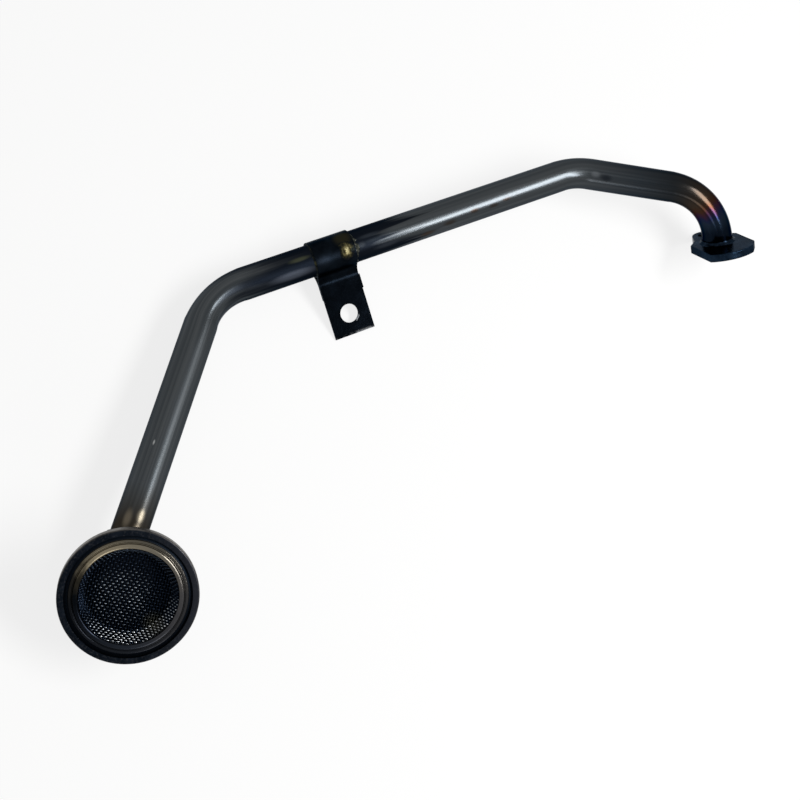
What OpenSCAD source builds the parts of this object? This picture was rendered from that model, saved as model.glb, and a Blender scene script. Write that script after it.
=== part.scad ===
// Oil pickup tube: a bent steel tube with a bolted flange at its pump end, a support strap folded
// round its long run, and a bell strainer with a dished wire screen at its sump end.
// The part lies as it comes to rest. Its origin is the centre of the flange's mounting face.

/* [Tube] */
// Outside diameter of the tube
tube_od = 19; // [17:0.5:20]
// Wall of the tube
tube_wall = 1.5; // [1:0.25:2]
// Centreline radius of all three bends
bend_radius = 40; // [36:1:44]
// Thinning of the tube's wall and of the strap on each face in a bend
bend_thinning = 0.02; // [0.01:0.01:0.05]
// Straight end of the tube, from the mounting face to the first bend
stub_length = 8.5; // [7.5:0.5:16]
// Angle of the first bend, next to the flange
bend_1 = 70; // [60:1:80]
// Straight run between the first and the second bend
run_1 = 52; // [40:1:70]
// Turn of the second bend's plane about the tube
turn_2 = 47; // [35:1:60]
// Angle of the second bend
bend_2 = 30; // [20:1:40]
// Straight run that carries the support strap
run_2 = 209.5; // [190:0.5:240]
// Angle of the third bend, in the plane of the second
bend_3 = 51; // [42:1:60]
// Straight leg from the third bend to the tube's end inside the bell
leg_length = 134; // [115:0.5:160]

/* [Flange] */
// Thickness of the plate
flange_thickness = 5; // [4:0.5:6.5]
// Width across the plate's straight sides
flange_width = 33; // [30:0.5:38]
// Radius of the rounded nose, about the tube's axis
nose_radius = 26; // [23:0.5:30]
// Length along the side that the chamfer takes off one nose corner
nose_chamfer = 3.2; // [1:0.1:5]
// Angle of that chamfer to the side
chamfer_angle = 37; // [30:1:45]
// Reach of the straight sides behind the tube's axis
side_reach = 5; // [2:0.5:8]
// Reach of the shoulders behind the tube's axis
shoulder_reach = 11; // [9:0.5:13]
// Width of the plate at the shoulders
shoulder_width = 20.6; // [17:0.2:24]
// Distance from the tube's axis to the bolt hole
bolt_offset = 17.5; // [16:0.5:22]
// Diameter of the bolt hole
bolt_hole_d = 6.8; // [5.5:0.1:8.4]
// Radius of the ear round the bolt hole
ear_radius = 7.2; // [6.5:0.1:8]
// Turn of the plate about the tube's axis
flange_turn = 104.5; // [90:0.5:120]

/* [Support strap] */
// Place of the strap's middle along its run, from the end of the second bend
strap_place = 154.5; // [60:0.5:170]
// Turn of the tab about the tube
strap_turn = -31; // [-60:1:0]
// Width of the strip
strap_width = 25; // [20:0.5:32]
// Thickness of the strip
strap_thickness = 1.2; // [1:0.1:2]
// Radius of the folds that lead from the wrap into the tab
fold_radius = 8; // [6:0.5:10]
// Height of the tab's front face over the tube's axis
tab_face_height = 1; // [0:0.1:2]
// Distance from the tube's axis to the tab's end
tab_reach = 48.5; // [42:0.5:60]
// Distance from the tube's axis to the tab's hole
tab_hole_offset = 36; // [32:0.5:40]
// Diameter of the tab's hole
tab_hole_d = 11; // [8:0.5:13]
// Reach of the strip's returned end behind the tab, from the tube's axis
return_reach = 24.5; // [20:0.5:28]
// Step of the returned end past the tab's edge on the side of the flange
return_step = 1; // [0.2:0.1:2]

/* [Strainer bell] */
// Outside diameter over the crimped lip
rim_od = 70; // [66:0.5:76]
// Thickness of the bell's sheet
bell_sheet = 1.3; // [1:0.1:1.6]
// Width of the lip that is crimped over the screen ring
lip_width = 3.4; // [2.6:0.1:4]
// Radius of the lip's outer edge
lip_edge_radius = 1; // [0.6:0.1:1.3]
// Width of the ledge under the screen, from the lip's outside
ledge_width = 3.5; // [3:0.1:5]
// Depth of the bell, from the lip's face to its back
bell_depth = 40; // [38:0.5:44]
// Slope of the bell's wall from its axis
bell_taper = 24; // [20:1:26]
// Radius between the bell's wall and its back
bell_corner_radius = 5; // [3:0.5:7]
// Wall of the neck that the tube is brazed into
neck_wall = 1.5; // [1:0.1:2.5]
// Length of the neck, from the tube's end
neck_length = 6; // [5.5:0.5:10]
// Slope of the leg to the plane of the rim
entry_slope = 29; // [26:1:32]
// Turn of the strainer about the leg
strainer_turn = -104; // [-120:1:-90]
// Distance of the tube's end from the bell's axis, along the leg's way
entry_reach = 17; // [15:0.5:18]
// Offset of the leg to the side of the bell's axis
entry_offset = 9.1; // [6:0.1:10]
// Depth of the tube's end behind the lip's face
entry_depth = 22.1; // [21.5:0.1:24]

/* [Screen] */
// Thickness of the ring's flat, under the lip
ring_flat = 1.2; // [0.8:0.1:1.6]
// Diameter of the ring's rolled bead, across its middle
bead_circle = 52.2; // [49:0.2:53]
// Radius of the ring's rolled bead
bead_radius = 1.5; // [1.2:0.1:1.8]
// Sink of the bead into the ring's flat
bead_sink = 0.1; // [0.05:0.05:0.3]
// Gap between the bead and the step round it
bead_gap = 0.3; // [0.2:0.1:0.6]
// Width of the step round the bead
step_width = 1.6; // [1:0.1:2]
// Height of the step over the ring's flat
step_height = 0.9; // [0.5:0.1:1.2]
// Gap between the ring or the screen and the bell's wall
seat_clearance = 0.2; // [0.1:0.05:0.4]
// Thickness of the screen
screen_thickness = 1; // [0.8:0.1:1.4]
// Cover of the bead's inner half over the dish's edge
edge_cover = 0.5; // [0.2:0.1:1]
// Depth of the screen's dish under its edge
dish_depth = 6.5; // [5:0.5:8]
// Slope of the dish's wall to its floor
dish_slope = 65; // [55:1:75]
// Radius between the dish's floor and wall, inside
dish_floor_radius = 3; // [2:0.5:4]
// Radius between the dish's wall and edge, outside
dish_edge_radius = 0.5; // [0.4:0.1:1]
// Spacing of the screen's ridges
mesh_pitch = 3.2; // [3.1:0.1:5]
// Width of the webs between the screen's gaps
web_width = 1.1; // [0.9:0.1:1.4]
// Width of the ridges on those webs
ridge_width = 0.7; // [0.4:0.1:0.8]
// Height of the ridges over the dish's floor
ridge_height = 0.5; // [0.3:0.1:0.8]
// Drop of the crossing ridges under the others
ridge_drop = 0.15; // [0.1:0.05:0.2]

/* [Braze] */
// Leg of the fillet at the flange
flange_fillet = 2; // [1:0.25:2.5]
// Leg of the fillets at the strap and at the neck
small_fillet = 1; // [0.6:0.1:1]

/* [Rest] */
// First turn that lays the part on the ground, about X
rest_roll = 54.32; // [-180:0.01:180]
// Second turn, about Y
rest_pitch = 20.37; // [-90:0.01:90]
// Third turn, about the upright
rest_yaw = -169.35; // [-180:0.01:180]

/* [Hidden] */
$fn = 64;
// Overshoot of a cutting shape past the face that it cuts
over = 1;
// Reach of a straight length of tube or strap into the bend beside it
lap = 0.05;
arc_steps = 8;
tube_r = tube_od / 2;
bore_d = tube_od - 2 * tube_wall;
ear_lean = atan2(shoulder_width / 2, bolt_offset - shoulder_reach);
ear_span = norm([bolt_offset - shoulder_reach, shoulder_width / 2]);
ear_angle = ear_lean + acos(ear_radius / ear_span);
nose_end = sqrt(nose_radius ^ 2 - (flange_width / 2) ^ 2);
wrap_r = tube_r + strap_thickness;
tab_back = tab_face_height - strap_thickness;
return_back = tab_back - strap_thickness;
front_fold = [sqrt((wrap_r + fold_radius) ^ 2 - (tab_face_height + fold_radius) ^ 2), tab_face_height + fold_radius];
back_fold = [sqrt((wrap_r + fold_radius) ^ 2 - (return_back - fold_radius) ^ 2), return_back - fold_radius];
front_lean = atan2(front_fold.y, front_fold.x);
back_lean = atan2(back_fold.y, back_fold.x);
lap_angle = lap / tube_r * 180 / PI;
half_strap = strap_width / 2;
pinch = 0.8 * sqrt((fold_radius + strap_thickness) * strap_thickness);
rim_r = rim_od / 2;
lip_r = rim_r - lip_width;
seat_r = rim_r - bell_sheet - seat_clearance;
flat_top = -bell_sheet;
screen_top = flat_top - ring_flat;
ledge_top = screen_top - screen_thickness;
ledge_bottom = ledge_top - bell_sheet;
cone_r = rim_r - ledge_width;
bead_r = bead_circle / 2;
bead_middle = screen_top + bead_radius - bead_sink;
step_r = bead_r + bead_radius + bead_gap;
dish_r = bead_r - edge_cover;
floor_top = screen_top - dish_depth;
brow_radius = dish_edge_radius + screen_thickness;
floor_r = dish_r - dish_run();
gap_width = mesh_pitch - web_width;
mesh_count = ceil(floor_r / mesh_pitch);

// Straight length of the dish's wall between its two radii
function dish_wall() = (dish_depth - (brow_radius + dish_floor_radius) * (1 - cos(dish_slope))) / sin(dish_slope);

// Radial run of the dish's side, from the end of its flat floor to its edge
function dish_run() = (brow_radius + dish_floor_radius) * sin(dish_slope) + dish_wall() * cos(dish_slope);

// Points of an arc about a centre, from one angle to another
function arc(centre, radius, start, end) = [
    for (i = [0:arc_steps])
        let (a = start + (end - start) * i / arc_steps)
            centre + radius * [cos(a), sin(a)]
];

// One face of the screen in section, from the floor's middle to the edge under the lip
function dish_face(foot, brow, sink) = concat(
    [[0, floor_top - sink]],
    arc([floor_r, floor_top + dish_floor_radius], foot, -90, dish_slope - 90),
    arc([dish_r, screen_top - brow_radius], brow, dish_slope + 90, 90),
    [[seat_r, screen_top - sink]]
);

function reversed(points) = [for (i = [len(points) - 1:-1:0]) points[i]];

module lie() {
    rotate([rest_roll, rest_pitch, rest_yaw]) children();
}

// Moves along one bend of the tube, with the next frame's Z along the tube
module past_bend(angle) {
    translate([bend_radius * (1 - cos(angle)), 0, bend_radius * sin(angle)]) rotate([0, angle, 0]) children();
}

module at_run_1() {
    translate([0, 0, stub_length]) past_bend(bend_1) children();
}

module at_bend_2() {
    at_run_1() translate([0, 0, run_1]) rotate([0, 0, turn_2]) children();
}

module at_run_2() {
    at_bend_2() past_bend(bend_2) children();
}

module at_leg() {
    at_run_2() translate([0, 0, run_2]) past_bend(bend_3) children();
}

module at_tube_end() {
    at_leg() translate([0, 0, leg_length]) children();
}

// Frame of the strainer: origin on its axis in the plane of the lip's face, Z out of its mouth
module at_strainer() {
    at_tube_end() rotate([0, 0, strainer_turn]) rotate([0, entry_slope - 90, 0])
        translate([entry_reach, entry_offset, entry_depth]) children();
}

module tube_section(thinning) {
    difference() {
        circle(r = tube_r - thinning);
        circle(r = bore_d / 2 + thinning);
    }
}

// Straight length of tube along Z
module straight(start, end) {
    translate([0, 0, start]) linear_extrude(end - start) tube_section(0);
}

// One bend, from the origin along Z and over towards X
module elbow(angle) {
    translate([bend_radius, 0, 0]) rotate([90, 0, 180])
        rotate_extrude(angle = angle) translate([bend_radius, 0]) tube_section(bend_thinning);
}

// Ring of braze on the tube, in the corner that a face at the origin makes with it
module fillet_ring(leg) {
    rotate_extrude() translate([tube_r, 0])
        polygon([[0, 0], [leg, 0], [leg * 0.35, leg * 0.35], [0, leg]]);
}

module flange_outline() {
    difference() {
        intersection() {
            circle(r = nose_radius);
            translate([-side_reach, -flange_width / 2]) square([side_reach + nose_radius, flange_width]);
        }
        translate([nose_end - nose_chamfer, flange_width / 2]) rotate(-chamfer_angle) square([nose_radius, nose_radius]);
    }
    polygon([
        [-side_reach, flange_width / 2],
        [-shoulder_reach, shoulder_width / 2],
        [-bolt_offset + ear_radius * cos(ear_angle), ear_radius * sin(ear_angle)],
        [-bolt_offset + ear_radius * cos(ear_angle), -ear_radius * sin(ear_angle)],
        [-shoulder_reach, -shoulder_width / 2],
        [-side_reach, -flange_width / 2]
    ]);
    translate([-bolt_offset, 0]) circle(r = ear_radius);
}

// Curved length of the strip about the origin, from one angle and over another, untrimmed at its sides
module curl(radius, start, angle, thinning) {
    rotate([0, 0, start]) rotate_extrude(angle = angle) translate([radius + thinning, -half_strap - over])
        square([strap_thickness - 2 * thinning, strap_width + 2 * over]);
}

// Straight length of the strip between two distances from the tube's axis, past its sides by a step
module flat(start, end, bottom, low_step, high_step) {
    translate([start, bottom, -half_strap - low_step])
        cube([end - start, strap_thickness, strap_width + low_step + high_step]);
}

// Section of the bell's body, or of the room inside it where inset by the sheet
module bell_section(top, inset) {
    reach = inset / cos(bell_taper);
    start_r = cone_r + (top - ledge_bottom) * tan(bell_taper) - reach;
    back = -bell_depth + inset;
    back_r = start_r - (top - back) * tan(bell_taper);
    corner = bell_corner_radius - inset;
    corner_x = back_r + corner * tan(bell_taper) - corner / cos(bell_taper);
    polygon(concat(
        [[0, top], [start_r, top]],
        arc([corner_x, back + corner], corner, -bell_taper, -90),
        [[0, back]]));
}

module pickup_tube() {
    color("#5b5d60") lie() {
        straight(0, stub_length + lap);
        translate([0, 0, stub_length]) elbow(bend_1);
        at_run_1() straight(-lap, run_1 + lap);
        at_bend_2() elbow(bend_2);
        at_run_2() straight(-lap, run_2 + lap);
        at_run_2() translate([0, 0, run_2]) elbow(bend_3);
        at_leg() straight(-lap, leg_length);
    }
}

module mounting_flange() {
    color("#2f3238") lie() rotate([0, 0, flange_turn]) difference() {
        linear_extrude(flange_thickness) flange_outline();
        translate([0, 0, -over]) cylinder(d = tube_od, h = flange_thickness + 2 * over);
        translate([-bolt_offset, 0, -over]) cylinder(d = bolt_hole_d, h = flange_thickness + 2 * over);
    }
}

module support_strap() {
    color("#26282c") lie() at_run_2() translate([0, 0, strap_place]) rotate([0, 0, strap_turn]) difference() {
        union() {
            intersection() {
                union() {
                    curl(tube_r, front_lean - lap_angle, 360 + back_lean - front_lean + 2 * lap_angle, 0);
                    translate(front_fold) curl(fold_radius, front_lean + 180, 90 - front_lean, bend_thinning);
                    translate(back_fold) curl(fold_radius, 90, 90 + back_lean, bend_thinning);
                    flat(front_fold.x - lap, tab_reach, tab_back, over, over);
                    flat(back_fold.x - pinch, front_fold.x + lap, tab_back - strap_thickness / 2, over, over);
                }
                linear_extrude(strap_width, center = true) square(4 * tab_reach, center = true);
            }
            flat(back_fold.x - lap, return_reach, return_back, return_step, 0);
        }
        translate([tab_hole_offset, tab_back - over, 0]) rotate([-90, 0, 0])
            cylinder(d = tab_hole_d, h = strap_thickness + 2 * over);
    }
}

module strainer_bell() {
    color("#3a3d42") lie() difference() {
        union() {
            at_strainer() rotate_extrude() {
                polygon(concat(
                    [[0, 0]],
                    arc([rim_r - lip_edge_radius, -lip_edge_radius], lip_edge_radius, 90, 0),
                    [[rim_r, ledge_bottom], [0, ledge_bottom]]));
                bell_section(ledge_bottom, 0);
            }
            at_tube_end() translate([0, 0, -neck_length]) cylinder(r = tube_r + neck_wall, h = neck_length);
        }
        at_strainer() rotate_extrude() {
            translate([0, flat_top]) square([lip_r, over - flat_top]);
            translate([0, ledge_top]) square([rim_r - bell_sheet, flat_top - ledge_top]);
            bell_section(ledge_top, bell_sheet);
        }
        at_tube_end() translate([0, 0, -neck_length - over]) cylinder(d = tube_od, h = neck_length + 2 * over);
    }
}

module screen_ring() {
    color("#b9ac93") lie() at_strainer() rotate_extrude() difference() {
        union() {
            translate([bead_r, screen_top]) square([seat_r - bead_r, ring_flat]);
            translate([step_r, screen_top]) square([step_width, ring_flat + step_height]);
            translate([bead_r, bead_middle]) circle(r = bead_radius);
        }
        translate([0, screen_top - bead_radius]) square([rim_r, bead_radius]);
    }
}

// Square gaps of the mesh, as many as fit on the dish's flat floor
module mesh_gaps() {
    for (i = [-mesh_count:mesh_count], j = [-mesh_count:mesh_count])
        if (norm([abs(i), abs(j)] * mesh_pitch + [gap_width, gap_width] / 2) < floor_r - ridge_height)
            translate([i * mesh_pitch - gap_width / 2, j * mesh_pitch - gap_width / 2, floor_top - screen_thickness - over])
                cube([gap_width, gap_width, screen_thickness + 2 * over]);
}

// Ridges of the mesh one way across the floor, between the gaps
module mesh_ridges(height) {
    intersection() {
        translate([0, 0, floor_top - screen_thickness / 2]) cylinder(r = floor_r, h = screen_thickness + height);
        for (i = [-mesh_count:mesh_count - 1])
            translate([-floor_r, (i + 0.5) * mesh_pitch - ridge_width / 2, floor_top - screen_thickness / 2])
                cube([2 * floor_r, ridge_width, screen_thickness / 2 + height]);
    }
}

module strainer_screen() {
    color("#4c5258") lie() at_strainer() {
        difference() {
            rotate_extrude() polygon(concat(
                dish_face(dish_floor_radius, brow_radius, 0),
                reversed(dish_face(dish_floor_radius + screen_thickness, dish_edge_radius, screen_thickness))
            ));
            mesh_gaps();
        }
        mesh_ridges(ridge_height);
        rotate([0, 0, 90]) mesh_ridges(ridge_height - ridge_drop);
    }
}

module flange_braze() {
    color("#5f5a4c") lie() translate([0, 0, flange_thickness]) fillet_ring(flange_fillet);
}

module strap_braze() {
    color("#a98a4f") lie() at_run_2() for (side = [0, 1])
        translate([0, 0, strap_place + (side - 0.5) * strap_width]) rotate([(1 - side) * 180, 0, 0])
            fillet_ring(small_fillet);
}

module bell_braze() {
    color("#8d774a") lie() at_tube_end() translate([0, 0, -neck_length]) rotate([180, 0, 0])
        fillet_ring(small_fillet);
}

pickup_tube();
mounting_flange();
support_strap();
strainer_bell();
screen_ring();
strainer_screen();
flange_braze();
strap_braze();
bell_braze();
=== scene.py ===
from functools import partial
from math import cos, radians, sin

import bmesh
import bpy
import numpy as np
from mathutils import Matrix, Vector


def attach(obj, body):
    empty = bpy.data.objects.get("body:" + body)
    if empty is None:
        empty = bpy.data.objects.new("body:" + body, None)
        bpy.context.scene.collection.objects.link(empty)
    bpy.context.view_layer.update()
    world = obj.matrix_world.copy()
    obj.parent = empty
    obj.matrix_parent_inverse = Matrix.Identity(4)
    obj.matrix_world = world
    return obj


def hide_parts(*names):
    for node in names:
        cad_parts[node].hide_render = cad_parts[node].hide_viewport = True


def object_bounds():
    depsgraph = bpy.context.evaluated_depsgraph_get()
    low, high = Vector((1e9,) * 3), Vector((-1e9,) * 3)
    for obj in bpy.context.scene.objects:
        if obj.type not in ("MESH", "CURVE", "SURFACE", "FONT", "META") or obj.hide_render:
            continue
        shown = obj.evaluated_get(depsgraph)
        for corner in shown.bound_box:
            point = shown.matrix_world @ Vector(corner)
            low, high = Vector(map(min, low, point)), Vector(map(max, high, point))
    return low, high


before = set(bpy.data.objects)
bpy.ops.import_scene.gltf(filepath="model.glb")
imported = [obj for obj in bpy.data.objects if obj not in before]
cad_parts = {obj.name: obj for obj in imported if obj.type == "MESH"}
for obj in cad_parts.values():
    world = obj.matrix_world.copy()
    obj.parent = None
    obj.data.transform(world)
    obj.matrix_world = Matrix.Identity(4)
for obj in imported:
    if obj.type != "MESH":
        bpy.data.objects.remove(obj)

bl_info = {
    "name": "Oil Pickup Tube",
    "version": (1, 0, 0),
    "blender": (4, 5, 0),
    "location": "View3D > Sidebar > Pickup Tube",
    "description": "Dresses the packed oil pickup tube: tube, flange, strap, strainer, braze and stage",
    "category": "Object",
}

CAD_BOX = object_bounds()
MM = 0.001

# Edges of the pressed and cut pieces that turn by more degrees than this are deburred
SHARP_ANGLE = 32

# Marks on the tube: rubbed, rusty and scratched spots, painted highlights at the bell's end, and the painted
# highlight and painted shade of a dent before the second bend. Columns: degrees round it, millimetres along
# it, radius, stretch along it, strength, colour
TUBE_MARKS = (
    # Painted highlights at the bell's end
    (149, 496, 3.0, 2.4, 0.75, "#675f52"),
    (111, 493, 3.0, 1.7, 0.8, "#7a7365"),
    (113, 500, 2.6, 1.5, 0.6, "#5f584c"),
    # A scratch
    (148, 453, 0.7, 3.0, 0.85, "#a4a5a5"),
    # The painted highlight and painted shade of a dent before the second bend
    (105, 108, 2.6, 1.6, 0.6, "#5f6367"),
    (97, 101, 3.0, 1.8, 0.7, "#14181e"),
    # Rust, and other marks near the strap
    (92, 194, 1.8, 2.5, 0.7, "#33251a"),
    (87, 181, 1.6, 3.0, 0.65, "#2c2119"),
    (94, 172, 1.4, 3.0, 0.6, "#33251a"),
    (79, 211, 2.1, 3.0, 0.65, "#2e241b"),
    (66, 226, 2.0, 3.5, 0.6, "#3a2c20"),
    (108, 268, 2.4, 1.4, 0.5, "#2c3034"),
    (82, 312, 3.4, 5.5, 0.75, "#474c56"),
    (129, 306, 1.8, 5.0, 0.6, "#474a39"),
    (112, 259, 1.5, 6.0, 0.5, "#23282d"),
    (132, 262, 1.6, 6.0, 0.6, "#30353c"),
    (78, 252, 2.0, 6.0, 0.55, "#343940"),
)


# Numbers and colours

def linear(code):
    """Linear colour of an sRGB hex code, with an alpha of one."""
    s = np.array([int(code[i:i + 2], 16) for i in (1, 3, 5)]) / 255
    c = np.where(s <= 0.04045, s / 12.92, ((s + 0.055) / 1.055) ** 2.4)
    return (*(float(v) for v in c), 1.0)


def turned(axis, angle):
    """Turn about the axis X, Y or Z by an angle in degrees."""
    c, s = cos(radians(angle)), sin(radians(angle))
    first = ("XYZ".index(axis) + 1) % 3
    second = (first + 1) % 3
    made = np.eye(3)
    made[first, first] = made[second, second] = c
    made[first, second], made[second, first] = -s, s
    return made


def rest_turn(p):
    """Turn that lays the part on the ground: about X, then Y, then the upright."""
    return turned("Z", p.rest_yaw) @ turned("Y", p.rest_pitch) @ turned("X", p.rest_roll)


def waves(angle, seed, lowest, highest):
    """Seamless lumps round a circle: nine sines of whole orders with seeded phases, within about -1 to 1."""
    count = 9
    rng = np.random.default_rng(seed)
    order = rng.integers(lowest, highest + 1, count)
    phase = rng.uniform(0, 2 * np.pi, count)
    weight = rng.uniform(0.4, 1, count)
    return (np.sin(angle[..., None] * order + phase) * weight).sum(-1) / weight.sum() * 1.8


# Meshes

def circle(count):
    """Angles of points spaced evenly round a circle, in radians."""
    return np.linspace(0, 2 * np.pi, count, endpoint=False)


def around(radius, angle, height):
    """Points about the axis z, row by row, from their radius, angle and height."""
    columns = np.broadcast_arrays(radius * np.cos(angle), radius * np.sin(angle), height)
    return np.stack(columns, -1).reshape(-1, 3)


def grid_faces(rows, columns, round_rows, round_columns, start=0):
    """Quads of a grid of points, row by row; a round direction joins its last line to its first."""
    r = np.arange(rows if round_rows else rows - 1)[:, None]
    c = np.arange(columns if round_columns else columns - 1)[None, :]
    r1, c1 = (r + 1) % rows, (c + 1) % columns
    quads = np.stack([r * columns + c, r * columns + c1, r1 * columns + c1, r1 * columns + c], -1)
    return quads.reshape(-1, 4) + start


def outward(points, faces):
    """Faces of a closed mesh, turned round where the volume inside them counts as negative."""
    corner = np.asarray(points, dtype=float)[faces]
    volume = sum(np.einsum("ij,ij->", corner[:, 0], np.cross(corner[:, i], corner[:, i + 1]))
                 for i in range(1, faces.shape[1] - 1))
    return faces if volume > 0 else faces[:, ::-1]


def piece(name, points, faces, material, node, drawn=None):
    """Makes a smooth closed mesh object at the origin from points in millimetres.

    It stands for a node of the frame where one is named. The points may carry a vector for the material.
    """
    mesh = bpy.data.meshes.new(name)
    faces = outward(points, np.asarray(faces))
    mesh.vertices.add(len(points))
    mesh.vertices.foreach_set("co", (np.asarray(points) * MM).astype(np.float32).ravel())
    mesh.loops.add(faces.size)
    mesh.loops.foreach_set("vertex_index", faces.astype(np.int32).ravel())
    mesh.polygons.add(len(faces))
    mesh.polygons.foreach_set("loop_start", np.arange(0, faces.size, faces.shape[1], dtype=np.int32))
    mesh.polygons.foreach_set("use_smooth", np.ones(len(faces), dtype=bool))
    if drawn is not None:
        mark = mesh.attributes.new("drawn", "FLOAT_VECTOR", "POINT")
        mark.data.foreach_set("vector", np.asarray(drawn).astype(np.float32).ravel())
    mesh.update(calc_edges=True)
    mesh.validate()
    made = bpy.data.objects.new(name, mesh)
    bpy.context.scene.collection.objects.link(made)
    mesh.materials.append(material)
    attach(made, "root")
    if node:
        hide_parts(node)
    return made


def close_poles(made):
    """Makes the points of a pole one, so that the faces round it are triangles."""
    work = bmesh.new()
    work.from_mesh(made.data)
    bmesh.ops.remove_doubles(work, verts=work.verts, dist=0.001 * MM)
    work.to_mesh(made.data)
    work.free()


def merged(node):
    """Points in millimetres and triangles of a copy of a node's mesh, with its doubled points made one."""
    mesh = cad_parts[node].data
    points = np.empty(len(mesh.vertices) * 3, dtype=np.float32)
    mesh.vertices.foreach_get("co", points)
    mesh.calc_loop_triangles()
    corners = np.empty(len(mesh.loop_triangles) * 3, dtype=np.int32)
    mesh.loop_triangles.foreach_get("vertices", corners)
    points = points.reshape(-1, 3) / MM
    _, first, same = np.unique(np.round(points, 3), axis=0, return_index=True, return_inverse=True)
    faces = same.ravel()[corners].reshape(-1, 3)
    whole = (faces[:, 0] != faces[:, 1]) & (faces[:, 1] != faces[:, 2]) & (faces[:, 2] != faces[:, 0])
    return points[first], faces[whole]


def soften(made, width):
    """Rounds a piece's edges as deburring does, with a Bevel that keeps its flat faces flat."""
    bevel = made.modifiers.new("Deburred edges", "BEVEL")
    bevel.width = width * MM
    bevel.segments = 2
    bevel.limit_method = "ANGLE"
    bevel.angle_limit = radians(SHARP_ANGLE)
    bevel.harden_normals = True
    bevel.use_clamp_overlap = True


# Places on the part, in millimetres

def bend_reach(p, angle):
    """Places at angles of a bend, seen from its start: z runs along the tube, x to the bend's middle."""
    return p.bend_radius * np.stack([1 - np.cos(angle), 0 * angle, np.sin(angle)], -1)


def tube_legs(p):
    """Legs of the tube in turn, the place and the axes at the start of each, and those of the tube's end.

    A leg is a straight length, the angle of a bend, the turn of the bend's plane and the bend's flattening.
    """
    legs = ((p.stub_length, 0, 0, 0), (0, p.bend_1, 0, p.flat_1),
            (p.run_1, 0, 0, 0), (0, p.bend_2, p.turn_2, p.flat_2),
            (p.run_2, 0, 0, 0), (0, p.bend_3, 0, p.flat_3),
            (p.leg_length, 0, 0, 0))
    place, turn = np.zeros(3), rest_turn(p)
    starts = []
    for straight, bend, roll, _ in legs:
        turn = turn @ turned("Z", roll)
        starts.append((place, turn))
        place = place + turn @ (bend_reach(p, radians(bend)) if bend else np.array([0, 0, straight]))
        turn = turn @ turned("Y", bend)
    return legs, starts, (place, turn)


def centreline(p, step):
    """Centreline of the tube, as arrays along it.

    They are places, two cross axes that don't twist along the tube, the distance along it, how far the
    section is flattened, and the angle of the bend's plane in those axes.
    """
    run, twist, rows = 0.0, 0.0, []
    legs, starts, (last, _) = tube_legs(p)
    for (straight, bend, roll, flat), (place, turn) in zip(legs, starts):
        twist += roll
        length = straight or p.bend_radius * radians(bend)
        d = np.linspace(0, length, int(np.ceil(length / step)), endpoint=False)
        q = d / p.bend_radius if bend else 0 * d
        local = bend_reach(p, q) if bend else np.stack([q, q, d], -1)
        x = np.stack([np.cos(q), 0 * q, -np.sin(q)], -1) @ turn.T
        y = np.broadcast_to(turn[:, 1], x.shape)
        c, s = cos(radians(twist)), sin(radians(twist))
        dent = flat * np.sin(np.pi * (d / length)) ** 0.6
        plane = np.full(len(d), radians(twist))
        rows.append((place + local @ turn.T, c * x - s * y, s * x + c * y, run + d, dent, plane))
        run += length
    _, x, y, _, _, plane = rows[-1]
    rows.append((last[None], x[-1:], y[-1:], np.array([run]), np.zeros(1), plane[-1:]))
    return tuple(np.concatenate(column) for column in zip(*rows))


def strap_frame(p):
    """Frame of the strap on the tube's axis: x to the tab's end, y out of its front, z along the tube."""
    long_run = 4
    place, turn = tube_legs(p)[1][long_run]
    return place + turn[:, 2] * p.strap_place, turn @ turned("Z", p.strap_turn)


def strainer_frame(p):
    """Frame of the strainer: origin on its axis in the plane of the lip's face, z out of its mouth."""
    _, _, (place, turn) = tube_legs(p)
    turn = turn @ turned("Z", p.strainer_turn) @ turned("Y", p.entry_slope - 90)
    return place + turn @ np.array([p.entry_reach, p.entry_offset, p.entry_depth]), turn


def dish_profile(p):
    """Screen's section by arc length from its middle: floor, corner arc, straight wall, brow arc, flat edge.

    Gives the arc length, the radius, the height and the slope in radians, as finely sampled arrays.
    """
    edge, samples = 4, 3000
    a = radians(p.dish_slope)
    arcs = p.brow_radius + p.dish_floor_radius
    wall = (p.dish_depth - arcs * (1 - cos(a))) / sin(a)
    floor = p.dish_radius - (arcs * sin(a) + wall * cos(a))
    ends = np.cumsum([0, floor, p.dish_floor_radius * a, wall, p.brow_radius * a, edge])
    length = np.linspace(0, ends[-1], samples)
    slope = np.interp(length, ends, [0, 0, a, a, 0, 0])
    step = np.diff(length, prepend=0)
    return length, np.cumsum(np.cos(slope) * step), p.floor_height + np.cumsum(np.sin(slope) * step), slope


# Materials

def add_node(tree, kind, *values, ins=None, stops=None, out=None, **settings):
    """Adds a node and gives its first output in use, or the one that is named.

    Its operation may follow its kind. The values are those of its first inputs in order, and ins holds
    others, as numbers or as sockets. Then come a colour ramp's stops and the settings. A Noise takes its
    place, W, scale per millimetre, detail and roughness, and a Map Range its value, range and new range.
    The factor and the colours of a Mix are 0, 6 and 7.
    """
    kind, *operation = kind.split()
    made = tree.nodes.new("ShaderNode" + kind)
    if operation:
        made.operation = operation[0]
    for key, value in settings.items():
        setattr(made, key, value)
    if stops:
        ramp = made.color_ramp
        while len(ramp.elements) < len(stops):
            ramp.elements.new(0.5)
        for element, (place, colour) in zip(ramp.elements, stops):
            element.position = place
            element.color = linear(colour) if isinstance(colour, str) else (colour, colour, colour, 1)
    for key, value in (*enumerate(values), *(ins or {}).items()):
        if isinstance(value, bpy.types.NodeSocket):
            tree.links.new(value, made.inputs[key])
        else:
            made.inputs[key].default_value = value
    if out:
        return made.outputs[out]
    return next((socket for socket in made.outputs if socket.enabled), None)


def empty_tree(owner):
    """Empties the nodes of a material or a world, and gives the helper that adds to them."""
    owner.use_nodes = True
    owner.node_tree.nodes.clear()
    return partial(add_node, owner.node_tree)


def new_material(name):
    """Empty material, and the helper that adds its nodes."""
    material = bpy.data.materials.new(name)
    return material, empty_tree(material)


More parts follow.
